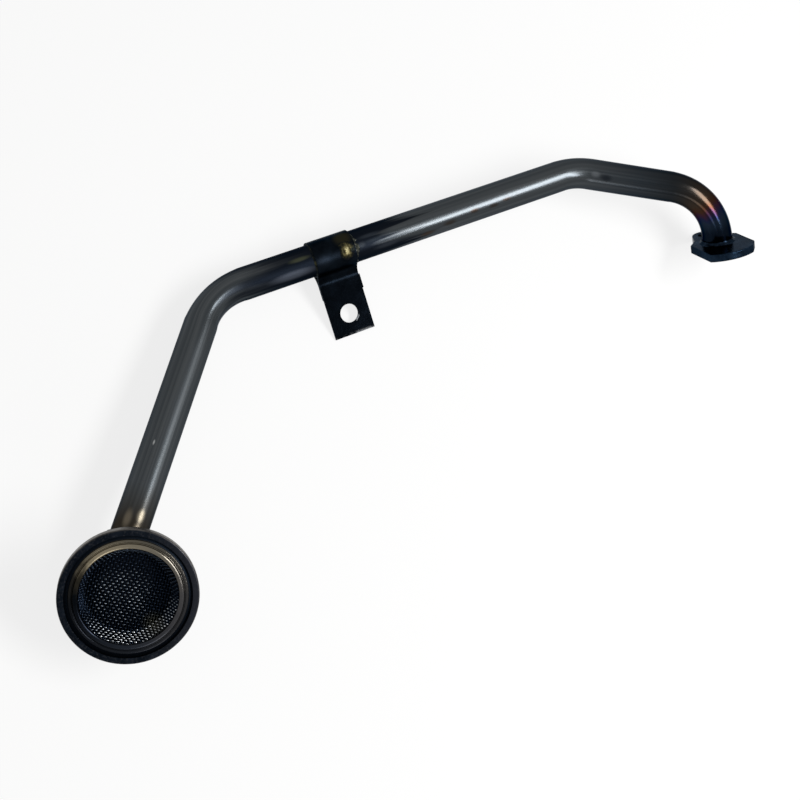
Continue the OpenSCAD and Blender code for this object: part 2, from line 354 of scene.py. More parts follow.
def metal(material, colour, layers, rough, tint=None, bump=None):
    """Finishes a metal from its plain colour and the layers on it, and gives its material.

    A layer is a share and the tone that it lays over what is below. The tint is that of the metal's edge.
    The bump is a strength, a depth in metres and the socket of its height.
    """
    add = partial(add_node, material.node_tree)
    for share, tone in layers:
        colour = add("Mix", ins={0: share, 6: colour, 7: linear(tone)}, data_type="RGBA")
    ins = {"Base Color": colour, "Metallic": 1.0, "Roughness": rough}
    if tint:
        ins["Specular Tint"] = linear(tint)
    if bump:
        ins["Normal"] = add("Bump", ins=dict(zip(("Strength", "Distance", "Height"), bump)))
    add("OutputMaterial", add("BsdfPrincipled", ins=ins))
    return material


def millimetres(add):
    """Object coordinates in millimetres."""
    place = add("TexCoord", out="Object")
    return add("VectorMath SCALE", place, ins={"Scale": 1 / MM})


def local_place(add, origin, turn):
    """Object coordinates in millimetres in a frame of the part, which a Mapping node centres and turns."""
    ins = {"Vector": add("TexCoord", out="Object"), "Location": Vector(origin * MM),
           "Rotation": Matrix(turn.tolist()).to_euler()}
    place = add("Mapping", ins=ins, vector_type="TEXTURE")
    return add("VectorMath SCALE", place, ins={"Scale": 1 / MM})


def strainer_place(add, p):
    """Place in the strainer's frame in millimetres, the same without its height, and the radius."""
    local = local_place(add, *strainer_frame(p))
    flat = add("VectorMath MULTIPLY", local, (1, 1, 0))
    return local, flat, add("VectorMath LENGTH", flat)


def tube_steel(c, p):
    """Drawn steel tube, bright from the die and oxidised where it was brazed.

    Drawing leaves fine streaks along the tube, 0.5 mm wide and centimetres long. Brazing heat leaves straw,
    orange, purple and blue bands next to the flange, black scale with long fingers beside the strap and a
    brown bloom at the bell. Rubbed and rusty marks of some millimetres lie where use left them, and among
    the marks are painted highlights at the bell's end and the painted highlight and painted shade of a dent.
    """
    material, add = new_material("drawn steel tube")
    drawn = add("Attribute", out="Vector", attribute_name="drawn")
    along = add("SeparateXYZ", drawn, out="Z")
    # Noise for the streaks, the fingers and the smudges, each drawn out along the tube by its own share
    noises = []
    for squeeze, size, detail, grit in ((0.012, 0.55, 6, 0.62), (0.05, 0.28, 3, 0.5), (0.16, 0.2, 5, 0.6)):
        place = add("VectorMath MULTIPLY", drawn, (1, 1, squeeze))
        noises.append(add("TexNoise", place, 0, size, detail, grit))
    streak, finger, smudge = noises
    speck = add("TexNoise", drawn, 0, 0.9, 3, 0.6)
    # The heat bands lie by millimetres from the flange, and their edges wander by some millimetres
    wander = add("MapRange", smudge, 0.3, 0.7, -2.5, 2.5)
    reach = add("Math ADD", along, wander)
    bands = ((0, "#0a1017"), (14, "#0c131d"), (18, "#141d28"), (22, "#19222f"), (25, "#171c33"),
             (29, "#2c1a29"), (33, "#352117"), (38, "#302720"), (48, "#252321"), (58, "#1e2124"),
             (80, "#272c31"), (118, c.tube_hex))
    heated = 120
    tint = add("ValToRGB", add("MapRange", reach, 0, heated),
               stops=[(place / heated, tone) for place, tone in bands])
    paler = add("MapRange", streak, 0.4, 0.74, 0, 0.35)
    clean = add("MapRange", reach, 45, 150)
    paler = add("Math MULTIPLY", paler, clean)
    # Brown specks of old rust, about a millimetre
    rusty = add("MapRange", speck, 0.66, 0.76, 0, 0.5)
    length = (p.stub_length + p.run_1 + p.run_2 + p.leg_length
              + p.bend_radius * radians(p.bend_1 + p.bend_2 + p.bend_3))
    near_bell = add("MapRange", reach, length - 34, length - 10)
    strap_at = p.strap_place + p.stub_length + p.run_1 + p.bend_radius * radians(p.bend_1 + p.bend_2)
    fingers = add("MapRange", finger, 0.32, 0.68, -17, 17)
    scaled_at = add("Math ADD", along, fingers)
    near_strap = add("MapRange", scaled_at, strap_at - 80, strap_at + 80)
    scale = add("ValToRGB", near_strap, stops=(
        (0.0, 0.0), (0.15, 0.0), (0.26, 0.93), (0.5, 0.97), (0.7, 0.95), (0.82, 0.75), (0.95, 0.0)))
    layers = [(paler, "#666869"), (rusty, "#3b2c20"), (near_bell, "#2e2a24"), (scale, "#0b1018")]
    r = p.tube_od / 2
    # Marks, among them painted highlights at the bell's end and a dent's painted highlight and painted shade
    for angle, place, radius, stretch, amount, tone in TUBE_MARKS:
        spot = (r * cos(radians(angle)), r * sin(radians(angle)), place)
        off = add("VectorMath SUBTRACT", drawn, spot)
        off = add("VectorMath MULTIPLY", off, (1, 1, 1 / stretch))
        far = add("VectorMath LENGTH", off)
        mark = add("MapRange", far, radius, radius * 0.2, 0, amount, interpolation_type="SMOOTHSTEP")
        layers.append((mark, tone))
    rough = add("MapRange", streak, 0.3, 0.7, 0.2, 0.28)
    rough = add("Math MULTIPLY_ADD", scale, 0.22, rough)
    # It is glossier under the heat bands. The leg was rubbed to a satin, most of all next to its bend.
    for place, start, end, least, most in ((reach, 20, 110, 0.55, 1), (along, 372, 396, 1, 1.8),
                                           (along, 425, 478, 1, 0.76)):
        share = add("MapRange", place, start, end, least, most)
        rough = add("Math MULTIPLY", rough, share)
    return metal(material, tint, layers, rough, "#b2b5b9", (0.05, 0.0002, streak))


def blued_steel(c):
    """Mild steel plate, blued by brazing heat: a thin oxide, slate to black, in clouds of 5 to 15 mm."""
    material, add = new_material("heat-blued steel plate")
    place = millimetres(add)
    cloud = add("TexNoise", place, 0, 0.1, 5, 0.62)
    grain = add("TexNoise", place, 0, 1.3, 4, 0.65)
    colour = add("ValToRGB", cloud, stops=((0.34, "#0b131c"), (0.5, c.plate_hex), (0.68, "#1c2a39")))
    mottled = add("Mix", ins={0: 0.2, 6: colour, 7: grain}, data_type="RGBA", blend_type="OVERLAY")
    rough = add("MapRange", grain, 0.3, 0.7, 0.2, 0.3)
    return metal(material, mottled, (), rough, "#bcbfc3", (0.1, 0.0003, grain))


def blackened_strip(c, p):
    """Mild steel strip, blackened by brazing heat and oil.

    Its oxide is near black, in clouds of 5 to 15 mm, with an olive film of flux next to the brass. It is
    smoother on the flat tab than on the wrap. The end is rubbed pale, and a burr shines at the hole.
    """
    material, add = new_material("blackened steel strip")
    local = local_place(add, *strap_frame(p))
    cloud = add("TexNoise", local, 0, 0.11, 5, 0.62)
    grain = add("TexNoise", local, 0, 0.9, 4, 0.65)
    colour = add("ValToRGB", cloud, stops=((0.34, "#05080c"), (0.5, c.strip_hex), (0.7, "#0f151c")))
    reach = add("SeparateXYZ", local, out="X")
    # The wrap goes over into the flat tab between these distances from the tube's axis
    wrap_end, tab_start = 9, 17
    flat_tab = add("MapRange", reach, wrap_end, tab_start, 0, 0.55)
    end = add("MapRange", reach, p.tab_reach - 1.6, p.tab_reach - 0.2)
    patch = add("MapRange", cloud, 0.44, 0.56, 0, 0.8)
    end = add("Math MULTIPLY", end, patch)
    layers = [(flat_tab, "#020305"), (end, "#5c5e60")]
    # The flux lies at the brass, and a paler patch on the wrap's other half
    r = p.tube_od / 2 + p.strap_thickness
    flux = (r * cos(radians(135)), r * sin(radians(135)), -7)
    paler = (r * 0.2, r * 0.98, 7.5)
    for spot, radius, amount, tone in ((flux, 7, 0.7, "#2a281b"), (paler, 5, 0.5, "#161b22")):
        far = add("VectorMath DISTANCE", local, spot)
        mark = add("MapRange", far, radius, radius * 0.3, 0, amount, interpolation_type="SMOOTHSTEP")
        layers.append((mark, tone))
    # The burr is a crescent on the hole's lower edge
    hole = add("VectorMath SUBTRACT", local, (p.hole_reach, 0, 0))
    hole = add("VectorMath MULTIPLY", hole, (1, 0, 1))
    hole = add("VectorMath LENGTH", hole)
    rim = add("MapRange", hole, p.hole_diameter / 2 + 1.0, p.hole_diameter / 2 + 0.5)
    corner = (p.hole_reach + 4.2, 1, -4.4)
    far = add("VectorMath DISTANCE", local, corner)
    burr = add("MapRange", far, 2.6, 1.2, 0, 0.9, interpolation_type="SMOOTHSTEP")
    layers.append((add("Math MULTIPLY", burr, rim), "#6a6d70"))
    rough = add("MapRange", grain, 0.3, 0.7, -0.02, 0.02)
    dull = add("MapRange", reach, wrap_end, tab_start, 0.36, 0.15)
    rough = add("Math ADD", rough, dull)
    return metal(material, colour, layers, rough, "#b8bcc1", (0.06, 0.0003, grain))


def bell_steel(c, p):
    """Pressed steel sheet, blackened by oil and heat.

    It has dull flecks of a millimetre where its film is rubbed. The lip is lighter towards one side, and its
    rounded outer edge carries a painted highlight on its upper side, in patches.
    """
    material, add = new_material("pressed steel sheet")
    local, flat, radius = strainer_place(add, p)
    cloud = add("TexNoise", local, 0, 0.14, 4, 0.6)
    fleck = add("TexNoise", local, 0, 0.7, 3, 0.7)
    colour = add("ValToRGB", cloud, stops=((0.32, "#0a0e14"), (0.5, c.bell_hex), (0.7, "#1a1f27")))
    rubbed = add("MapRange", fleck, 0.52, 0.7, 0, 0.6)
    # Share of the lip's radius towards a side, from -1 to 1
    lighter_way, upper_way = (-0.4 / 33, 0.92 / 33, 0), (-0.97 / 35, 0.05 / 35, 0)
    # The lip is lighter towards one side
    across = add("VectorMath DOT_PRODUCT", flat, lighter_way)
    lighter_side = add("MapRange", across, 0.2, 1.0, 0, 0.6)
    upper = add("VectorMath DOT_PRODUCT", flat, upper_way)
    # Painted highlight on the lip's rounded outer edge, strongest on its upper side and in patches
    edge_highlight = add("MapRange", radius, 34.3, 35.0)
    side = add("MapRange", upper, -0.35, 0.15, 0.1, 0.6)
    edge_highlight = add("Math MULTIPLY", edge_highlight, side)
    patch = add("MapRange", cloud, 0.36, 0.6, 0.35, 1)
    edge_highlight = add("Math MULTIPLY", edge_highlight, patch)
    rough = add("MapRange", fleck, 0.35, 0.7, 0.46, 0.32)
    layers = ((rubbed, "#393a3d"), (lighter_side, "#2a2b30"), (edge_highlight, "#77726c"))
    return metal(material, colour, layers, rough, bump=(0.18, 0.0003, fleck))


def ring_steel(c, p):
    """Turned steel ring with fine tool lines 0.4 mm apart.

    Its tone round the ring is painted light and shade. A bright straw band on the neck's side is partly heat
    tint and partly painted highlight. Painted shade is near black a quarter turn anticlockwise from the neck
    and dark opposite it. The step is darker than the bead, and the flat under the lip is darker still and
    rougher.
    """
    material, add = new_material("turned steel ring")
    local, flat, radius = strainer_place(add, p)
    lines = add("TexNoise", ins={"W": radius, "Scale": 2.2, "Detail": 2, "Roughness": 0.7},
                noise_dimensions="1D")
    cloud = add("TexNoise", local, 0, 0.3, 4, 0.6)
    # Angle round the ring from the neck's side, clockwise as seen from its mouth
    up = add("VectorMath DOT_PRODUCT", flat, (-0.92, -0.4, 0))
    right = add("VectorMath DOT_PRODUCT", flat, (-0.4, 0.92, 0))
    round_it = add("Math ARCTAN2", right, up)
    wander = add("MapRange", cloud, 0.3, 0.7, -0.12, 0.12)
    round_it = add("Math ADD", round_it, wander)
    share = add("MapRange", round_it, -np.pi, np.pi)
    # Painted light and shade round the ring: the bright straw stop at -35 degrees is partly heat tint and
    # partly painted highlight, and the near-black stops are painted shade
    bands = ((-180, "#24282f"), (-120, "#11141a"), (-90, "#0a0d11"), (-64, "#2b2821"), (-35, "#8a806b"),
             (35, c.ring_hex), (95, "#454445"), (180, "#24282f"))
    tint = add("ValToRGB", share, stops=[(angle / 360 + 0.5, tone) for angle, tone in bands])
    # The step is darker than the bead, and the flat under the lip is darker still and rougher
    film = add("MapRange", radius, 27.4, 28.1, 0, 0.5)
    under_lip = add("MapRange", radius, 29.3, 29.8)
    rough = add("MapRange", lines, 0.3, 0.7, 0.15, 0.25)
    rough = add("Math MULTIPLY_ADD", under_lip, 0.32, rough)
    return metal(material, tint, ((film, "#1a1b1d"), (under_lip, "#141a22")), rough, bump=(0.1, 0.0002, lines))


def screen_wire(c, p):
    """Woven steel wire cloth, black with old oil, with a painted highlight on the crowns of its wires.

    The painted highlight is strongest in the middle of the floor and on the wall away from the neck, and an
    olive bloom of varnish lies between floor and wall.
    """
    material, add = new_material("woven steel wire")
    local, flat, radius = strainer_place(add, p)
    crown = add("SeparateXYZ", add("Attribute", out="Vector", attribute_name="drawn"), out="X")
    cloud = add("TexNoise", local, 0, 0.16, 3, 0.6)
    glitter = add("TexNoise", local, 0, 0.55, 2, 0.6)
    # Share of the wall's radius towards the side away from the neck, from -1 to 1
    away_way = (0.84 / 24, 0.55 / 24, 0)
    away = add("VectorMath DOT_PRODUCT", flat, away_way)
    # Painted highlight on the crowns: strongest round a point near the middle of the floor and on the wall
    # away from the neck, patchy and uneven
    middle = add("VectorMath DISTANCE", flat, (3.5, -2.5, 0))
    lit = add("MapRange", middle, 20, 9, 0.1, 0.72, interpolation_type="SMOOTHSTEP")
    patchy = add("MapRange", cloud, 0.3, 0.6, 0.35, 1)
    lit = add("Math MULTIPLY", lit, patchy)
    on_wall = add("MapRange", radius, 19.6, 21.2)
    wall_side = add("MapRange", away, 0.25, 0.95, 0.25, 2.6)
    wall_lit = add("Math MULTIPLY", on_wall, wall_side)
    lit = add("Math MAXIMUM", lit, wall_lit)
    uneven = add("MapRange", glitter, 0.3, 0.7, 0.45, 1.25)
    lit = add("Math MULTIPLY", lit, uneven)
    # Painted highlight by the height of the crown, from the wire's dark colour up to near white
    top = add("MapRange", crown, 0.25, 0.9, interpolation_type="SMOOTHSTEP")
    shine = add("Math MULTIPLY", top, lit)
    colour = add("ValToRGB", add("MapRange", shine, 0, 2), stops=(
        (0.0, "#141c29"), (0.12, c.wire_hex), (0.5, "#8d959d"), (1.0, "#dde1e4")))
    spot = add("VectorMath DISTANCE", flat, (11, 17.5, 0))
    olive = add("MapRange", spot, 7, 1, 0, 0.6)
    return metal(material, colour, ((olive, "#5a594c"),), 0.28)


def braze_metal(name, dark, middle, light, rough, ripple):
    """Brazing metal, frozen in lumps of about a millimetre, bright where clean and sooty in the hollows."""
    material, add = new_material(name)
    lump = add("TexNoise", millimetres(add), 0, 0.45, 4, 0.6)
    colour = add("ValToRGB", lump, stops=((0.36, dark), (0.52, middle), (0.68, light)))
    return metal(material, colour, (), rough, "#bcbfc3", (ripple, 0.0004, lump))


def puddle_brass(c):
    """Brazing brass, clean in the middle of its puddle, olive and then black with flux at the rim."""
    material, add = new_material("brazing brass")
    rim = add("SeparateXYZ", add("Attribute", out="Vector", attribute_name="drawn"), out="X")
    lump = add("TexNoise", millimetres(add), 0, 0.4, 4, 0.6)
    soot = add("MapRange", lump, 0.3, 0.7, 0.42, -0.3)
    soot = add("Math ADD", rim, soot)
    colour = add("ValToRGB", soot, stops=(
        (0.05, "#767056"), (0.3, c.braze_hex), (0.55, "#2f2c1d"), (0.8, "#161814"), (1.0, "#0b0e12")))
    return metal(material, colour, (), 0.46, bump=(0.3, 0.0004, lump))


def seen_rays(add):
    """One for rays that show a thing itself: from the camera, off gloss or through glass. Else zero."""
    seen = add("LightPath", out="Is Camera Ray")
    for name in ("Is Glossy Ray", "Is Transmission Ray"):
        seen = add("Math MAXIMUM", seen, add("LightPath", out=name))
    return seen


# Settings

def number(name, text, default, low=0.0):
    """Setting in millimetres."""
    return bpy.props.FloatProperty(name=name, description=text + ", in millimetres", default=default,
                                   min=low, max=1000)


def degrees(name, text, default):
    """Setting in degrees."""
    return bpy.props.FloatProperty(name=name, description=text + ", in degrees", default=default,
                                   min=-360, max=360)


def flattening(which, default):
    """Setting of how far a bend flattens the tube."""
    return bpy.props.FloatProperty(name=which.capitalize() + " flattening", default=default,
                                   description="Share that the " + which + " bend flattens the tube",
                                   subtype="FACTOR", min=0, max=0.2)


def tone(name, thing, default):
    """Setting of a colour."""
    return bpy.props.StringProperty(name=name, description="Colour of the " + thing, default=default)


def point(name, text, default):
    """Setting of a place in the scene."""
    return bpy.props.FloatVectorProperty(name=name, description=text, subtype="TRANSLATION", unit="LENGTH",
                                         default=default)


class PickupSizes(bpy.types.PropertyGroup):
    """Sizes of the pieces, as in the part's source."""
    tube_od: number("Tube diameter", "Outside diameter of the tube", 19)
    tube_wall: number("Tube wall", "Wall of the tube", 1.5)
    bend_radius: number("Bend radius", "Centreline radius of the bends", 40)
    stub_length: number("Stub", "Straight end at the flange", 8.5)
    bend_1: degrees("First bend", "Angle of the first bend", 70)
    run_1: number("First run", "Straight run between the first two bends", 52)
    turn_2: degrees("Turn", "Turn of the second bend's plane about the tube", 47)
    bend_2: degrees("Second bend", "Angle of the second bend", 30)
    run_2: number("Long run", "Straight run that carries the strap", 209.5)
    bend_3: degrees("Third bend", "Angle of the third bend", 51)
    leg_length: number("Leg", "Straight leg down to the bell", 134)
    flat_1: flattening("first", 0.05)
    flat_2: flattening("second", 0.03)
    flat_3: flattening("third", 0.08)
    flange_thickness: number("Flange", "Thickness of the flange", 5)
    strap_place: number("Strap place", "Place of the strap along its run", 154.5)
    strap_turn: degrees("Strap turn", "Turn of the tab about the tube", -31)
    strap_width: number("Strap width", "Width of the strap", 25)
    strap_thickness: number("Strap thickness", "Thickness of the strap", 1.2)
    tab_reach: number("Tab reach", "Distance of the tab's end from the tube's axis", 48.5)
    hole_reach: number("Hole reach", "Distance of the tab's hole from the tube's axis", 36)
    hole_diameter: number("Hole diameter", "Diameter of the tab's hole", 11)
    neck_length: number("Neck", "Length of the bell's neck", 6)
    strainer_turn: degrees("Strainer turn", "Turn of the strainer about the leg", -104)
    entry_slope: degrees("Entry slope", "Slope of the leg to the plane of the rim", 29)
    entry_reach: number("Entry reach", "Distance of the tube's end from the bell's axis", 17)
    entry_offset: number("Entry offset", "Offset of the leg to the side of the axis", 9.1)
    entry_depth: number("Entry depth", "Depth of the tube's end behind the lip", 22.1)
    dish_radius: number("Dish radius", "Radius of the screen's dish at its edge", 25.6)
    dish_depth: number("Dish depth", "Depth of the screen's dish", 6.5)
    dish_slope: degrees("Dish slope", "Slope of the dish's wall", 65)
    dish_floor_radius: number("Dish corner", "Radius between the dish's floor and wall", 3)
    brow_radius: number("Dish brow", "Radius between the dish's wall and edge", 1.5)
    floor_height: number("Dish floor", "Height of the dish's floor over the lip's face", -9, -50)
    warp_pitch: number("Warp spacing", "Spacing of the straight wires in the cloth", 1.41, 0.5)
    weft_pitch: number("Weft spacing", "Spacing of the crimped wires in the cloth", 1.55, 0.5)
    cloth_turn: degrees("Cloth turn", "Turn of the cloth's wires on the dish", 8.5)
    wire_diameter: number("Wire diameter", "Diameter of the wires", 0.62, 0.1)
    flange_fillet: number("Flange fillet", "Leg of the braze at the flange", 3)
    small_fillet: number("Small fillet", "Leg of the braze at the strap and the neck", 1)
    rest_roll: degrees("Rest roll", "First turn that lays the part down, about X", 54.32)
    rest_pitch: degrees("Rest pitch", "Second turn, about Y", 20.37)
    rest_yaw: degrees("Rest yaw", "Third turn, about the upright", -169.35)


class PickupFinish(bpy.types.PropertyGroup):
    """Colours of the finishes, as sRGB hex codes."""
    tube_hex: tone("Tube", "plain tube", "#3b3f42")
    plate_hex: tone("Plate", "flange", "#121d2a")
    strip_hex: tone("Strip", "strap", "#0a0e13")
    bell_hex: tone("Bell", "bell", "#10151c")
    ring_hex: tone("Ring", "screen's ring", "#69645a")
    wire_hex: tone("Wire", "screen's wire", "#2b323b")
    braze_hex: tone("Braze", "braze", "#565036")


class PickupStage(bpy.types.PropertyGroup):
    """Floor, lights and camera."""
    floor_hex: tone("Floor", "floor", "#fafaf9")
    eye: point("Camera", "Place of the camera", (-0.403007, -0.298588, 0.660433))
    aim: point("Aim", "Point that the camera looks at", (-0.211389, -0.115859, 0.0))
    roll: bpy.props.FloatProperty(name="Roll", description="Roll of the camera about its view",
                                  subtype="ANGLE", unit="ROTATION", default=radians(48.4917))
    lens: bpy.props.FloatProperty(name="Lens", description="Focal length on a 36 mm sensor",
                                  subtype="DISTANCE_CAMERA", unit="CAMERA", default=56.25)
    key_power: bpy.props.FloatProperty(name="Key", description="Power of the key light", subtype="POWER",
                                       unit="POWER", default=12)
    ambient: bpy.props.FloatProperty(name="Ambient", description="Strength of the even light", min=0,
                                     default=0.35)


# Operators

class PICKUP_OT_tube(bpy.types.Operator):
    """Makes the bent tube, flattened in its bends, with its bore"""
    bl_idname = "pickup.tube"
    bl_label = "Tube"

    def execute(self, context):
        """Section carried along the centreline.

        At an angle t round the tube, and with the bend's plane at b, the radius is r (1 - f cos^2(t - b)
        + 0.3 f sin^2(t - b)), where f is how far the bend flattens the tube there. The grid runs out along
        the tube and back through the bore, with a chamfered edge at both ends.
        """
        p = context.scene.pickup_sizes
        place, x, y, run, flat, plane = centreline(p, step=1.6)
        r, bore = p.tube_od / 2, p.tube_od / 2 - p.tube_wall
        sides, edge, spread = 72, 0.25, 0.3
        angle = circle(sides)
        axis = np.gradient(place, axis=0)
        axis /= np.linalg.norm(axis, axis=1, keepdims=True)
        n = len(run)
        order = np.concatenate([[0], np.arange(n), [n - 1, n - 1], np.arange(n)[::-1], [0]])
        radius = np.concatenate([[r - edge], np.full(n, r), [r - edge, bore + edge], np.full(n, bore),
                                 [bore + edge]])
        shift = np.zeros(len(order))
        shift[[1, 2 * n + 2]] = edge
        shift[[n, n + 3]] = -edge
        bend = np.cos(angle[None] - plane[order][:, None]) ** 2
        squeeze = 1 - flat[order][:, None] * (bend - spread * (1 - bend))
        c, s = np.cos(angle)[None, :, None], np.sin(angle)[None, :, None]
        out = c * x[order][:, None] + s * y[order][:, None]
        middle = (place[order] + axis[order] * shift[:, None])[:, None]
        points = middle + out * (radius[:, None] * squeeze)[..., None]
        drawn = around(radius[:, None], angle, (run[order] + shift)[:, None])
        faces = grid_faces(len(order), sides, True, True)
        finish = tube_steel(context.scene.pickup_finish, p)
        piece("tube_wall", points.reshape(-1, 3), faces, finish, "pickup_tube", drawn)
        return {"FINISHED"}


class PICKUP_OT_plates(bpy.types.Operator):
    """Finishes the flange in heat-blued steel and the strap in blackened steel"""
    bl_idname = "pickup.plates"
    bl_label = "Flange and strap"

    def execute(self, context):
        """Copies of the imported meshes, with their edges deburred by the widths given."""
        c, p = context.scene.pickup_finish, context.scene.pickup_sizes
        for node, name, finish, width in (("mounting_flange", "flange_plate", blued_steel(c), 0.6),
                                          ("support_strap", "strap_strip", blackened_strip(c, p), 0.25)):
            points, faces = merged(node)
            soften(piece(name, points, faces, finish, node), width)
        return {"FINISHED"}


class PICKUP_OT_strainer(bpy.types.Operator):
    """Finishes the bell and turns the ring of the strainer"""
    bl_idname = "pickup.strainer"
    bl_label = "Bell and ring"

    def execute(self, context):
        """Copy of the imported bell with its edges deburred, and the ring."""
        c, p = context.scene.pickup_finish, context.scene.pickup_sizes
        points, faces = merged("strainer_bell")
        soften(piece("bell_cup", points, faces, bell_steel(c, p), "strainer_bell"), 0.3)
        self.ring(p, ring_steel(c, p))
        return {"FINISHED"}

    def ring(self, p, finish):
        """Ring's section carried round the strainer's axis.

        From the inner edge of its foot the section runs over the bead, an arc of about two thirds of a
        circle, through a shallow groove, over the step with its rounded edges and out along the flat under
        the lip.
        """
        foot, flat, rim = -2.5, -1.3, 33.5
        bead_r, bead_z, bead = 26.1, -1.1, 1.5
        over = np.radians(np.linspace(249, 18, 22))
        groove = [(27.68, -0.78), (27.82, -0.8), (27.95, -0.68)]
        step = [(28.08, -0.48), (28.3, -0.4), (28.7, -0.38), (29.15, -0.4), (29.38, -0.5), (29.5, -0.72),
                (29.52, -1.1)]
        outer = [(29.62, flat), (rim - 0.1, flat), (rim, flat - 0.1), (rim, foot)]
        rolled = np.stack([bead_r + bead * np.cos(over), bead_z + bead * np.sin(over)], -1)
        section = np.concatenate([rolled, groove + step + outer])
        way = circle(192)[:, None]
        points = around(section[:, 0], way, section[:, 1])
        origin, turn = strainer_frame(p)
        faces = grid_faces(len(way), len(section), True, True)
        piece("ring_turned", points @ turn.T + origin, faces, finish, "screen_ring")


class PICKUP_OT_screen(bpy.types.Operator):
    """Weaves the wire cloth of the screen and drapes it over the dish"""
    bl_idname = "pickup.screen"
    bl_label = "Screen"

    def execute(self, context):
        """Plain weave on a flat disc, pressed into the dish.

        A weft wire at u runs along v and takes all the crimp: its middle lies off the cloth by
        h cos(pi v / spacing), with its crowns pressed flat by a hyperbolic tangent, and turned over from one
        wire to the next. The warp wires that it crosses lie straight. A point of the disc at distance d from
        the middle goes to the point of the dish at arc length d, in the same direction turned by the lay of
        the cloth, and the offset follows the dish's normal. Each wire is a tube of six sides with closed
        ends, and carries the share of its height over the cloth.
        """
        p = context.scene.pickup_sizes
        length, radius, height, slope = dish_profile(p)
        r = p.wire_diameter / 2
        # Reach of the cloth, height of its crimp, how flat its crowns are pressed, points a crossing
        reach, crimp, press, fine = length[-1] - 2.6, 1.4 * r, 1.8, 4
        weft_high = 0.75 * r
        side = circle(6)
        cap = np.array([(0, 1, 2, 3), (0, 3, 4, 5)])
        origin, turn = strainer_frame(p)
        points, faces, crowns, start = [], [], [], 0

        def drape(u, v, lift):
            """Points of the dish for points of the disc, lifted along its normal."""
            d = np.hypot(u, v)
            a = np.arctan2(v, u) + radians(p.cloth_turn)
            rr, z, s = (np.interp(d, length, q) for q in (radius, height, slope))
            rr, z = rr - lift * np.sin(s), z + lift * np.cos(s)
            return around(rr, a, z)

        for weft, pitch, cross, wide, high in ((1, p.weft_pitch, p.warp_pitch, 1.1 * r, weft_high),
                                               (0, p.warp_pitch, p.weft_pitch, 0.7 * r, 0.7 * r)):
            count = int(reach / pitch)
            for i in range(-count, count + 1):
                half = np.sqrt(reach ** 2 - (i * pitch) ** 2)
                v = np.linspace(-half, half, max(8, int(2 * half / cross * fine)))
                u = np.full_like(v, i * pitch)
                lift = weft * crimp * np.tanh(press * np.cos(np.pi * (v / cross + i))) / np.tanh(press)
                middle = drape(u, v, lift) if weft else drape(v, u, lift)
                along = np.gradient(middle, axis=0)
                along /= np.linalg.norm(along, axis=1, keepdims=True)
                over = np.cross(along, np.cross(np.array([0, 0, 1.0]), along))
                over /= np.linalg.norm(over, axis=1, keepdims=True)
                across = np.cross(along, over)
                ring = middle[:, None] + (wide * np.cos(side)[None, :, None] * across[:, None]
                                          + high * np.sin(side)[None, :, None] * over[:, None])
                crown = (lift[:, None] + high * np.sin(side)) / (crimp + weft_high)
                points.append(ring.reshape(-1, 3))
                crowns.append(np.outer(crown, (1, 0, 0)))
                faces.append(grid_faces(len(v), len(side), False, True, start))
                faces.append(cap[:, ::-1] + start)
                start += len(v) * len(side)
                faces.append(cap + start - len(side))
        finish = screen_wire(context.scene.pickup_finish, p)
        piece("screen_cloth", np.concatenate(points) @ turn.T + origin, np.concatenate(faces), finish,
              "strainer_screen", np.concatenate(crowns))
        return {"FINISHED"}


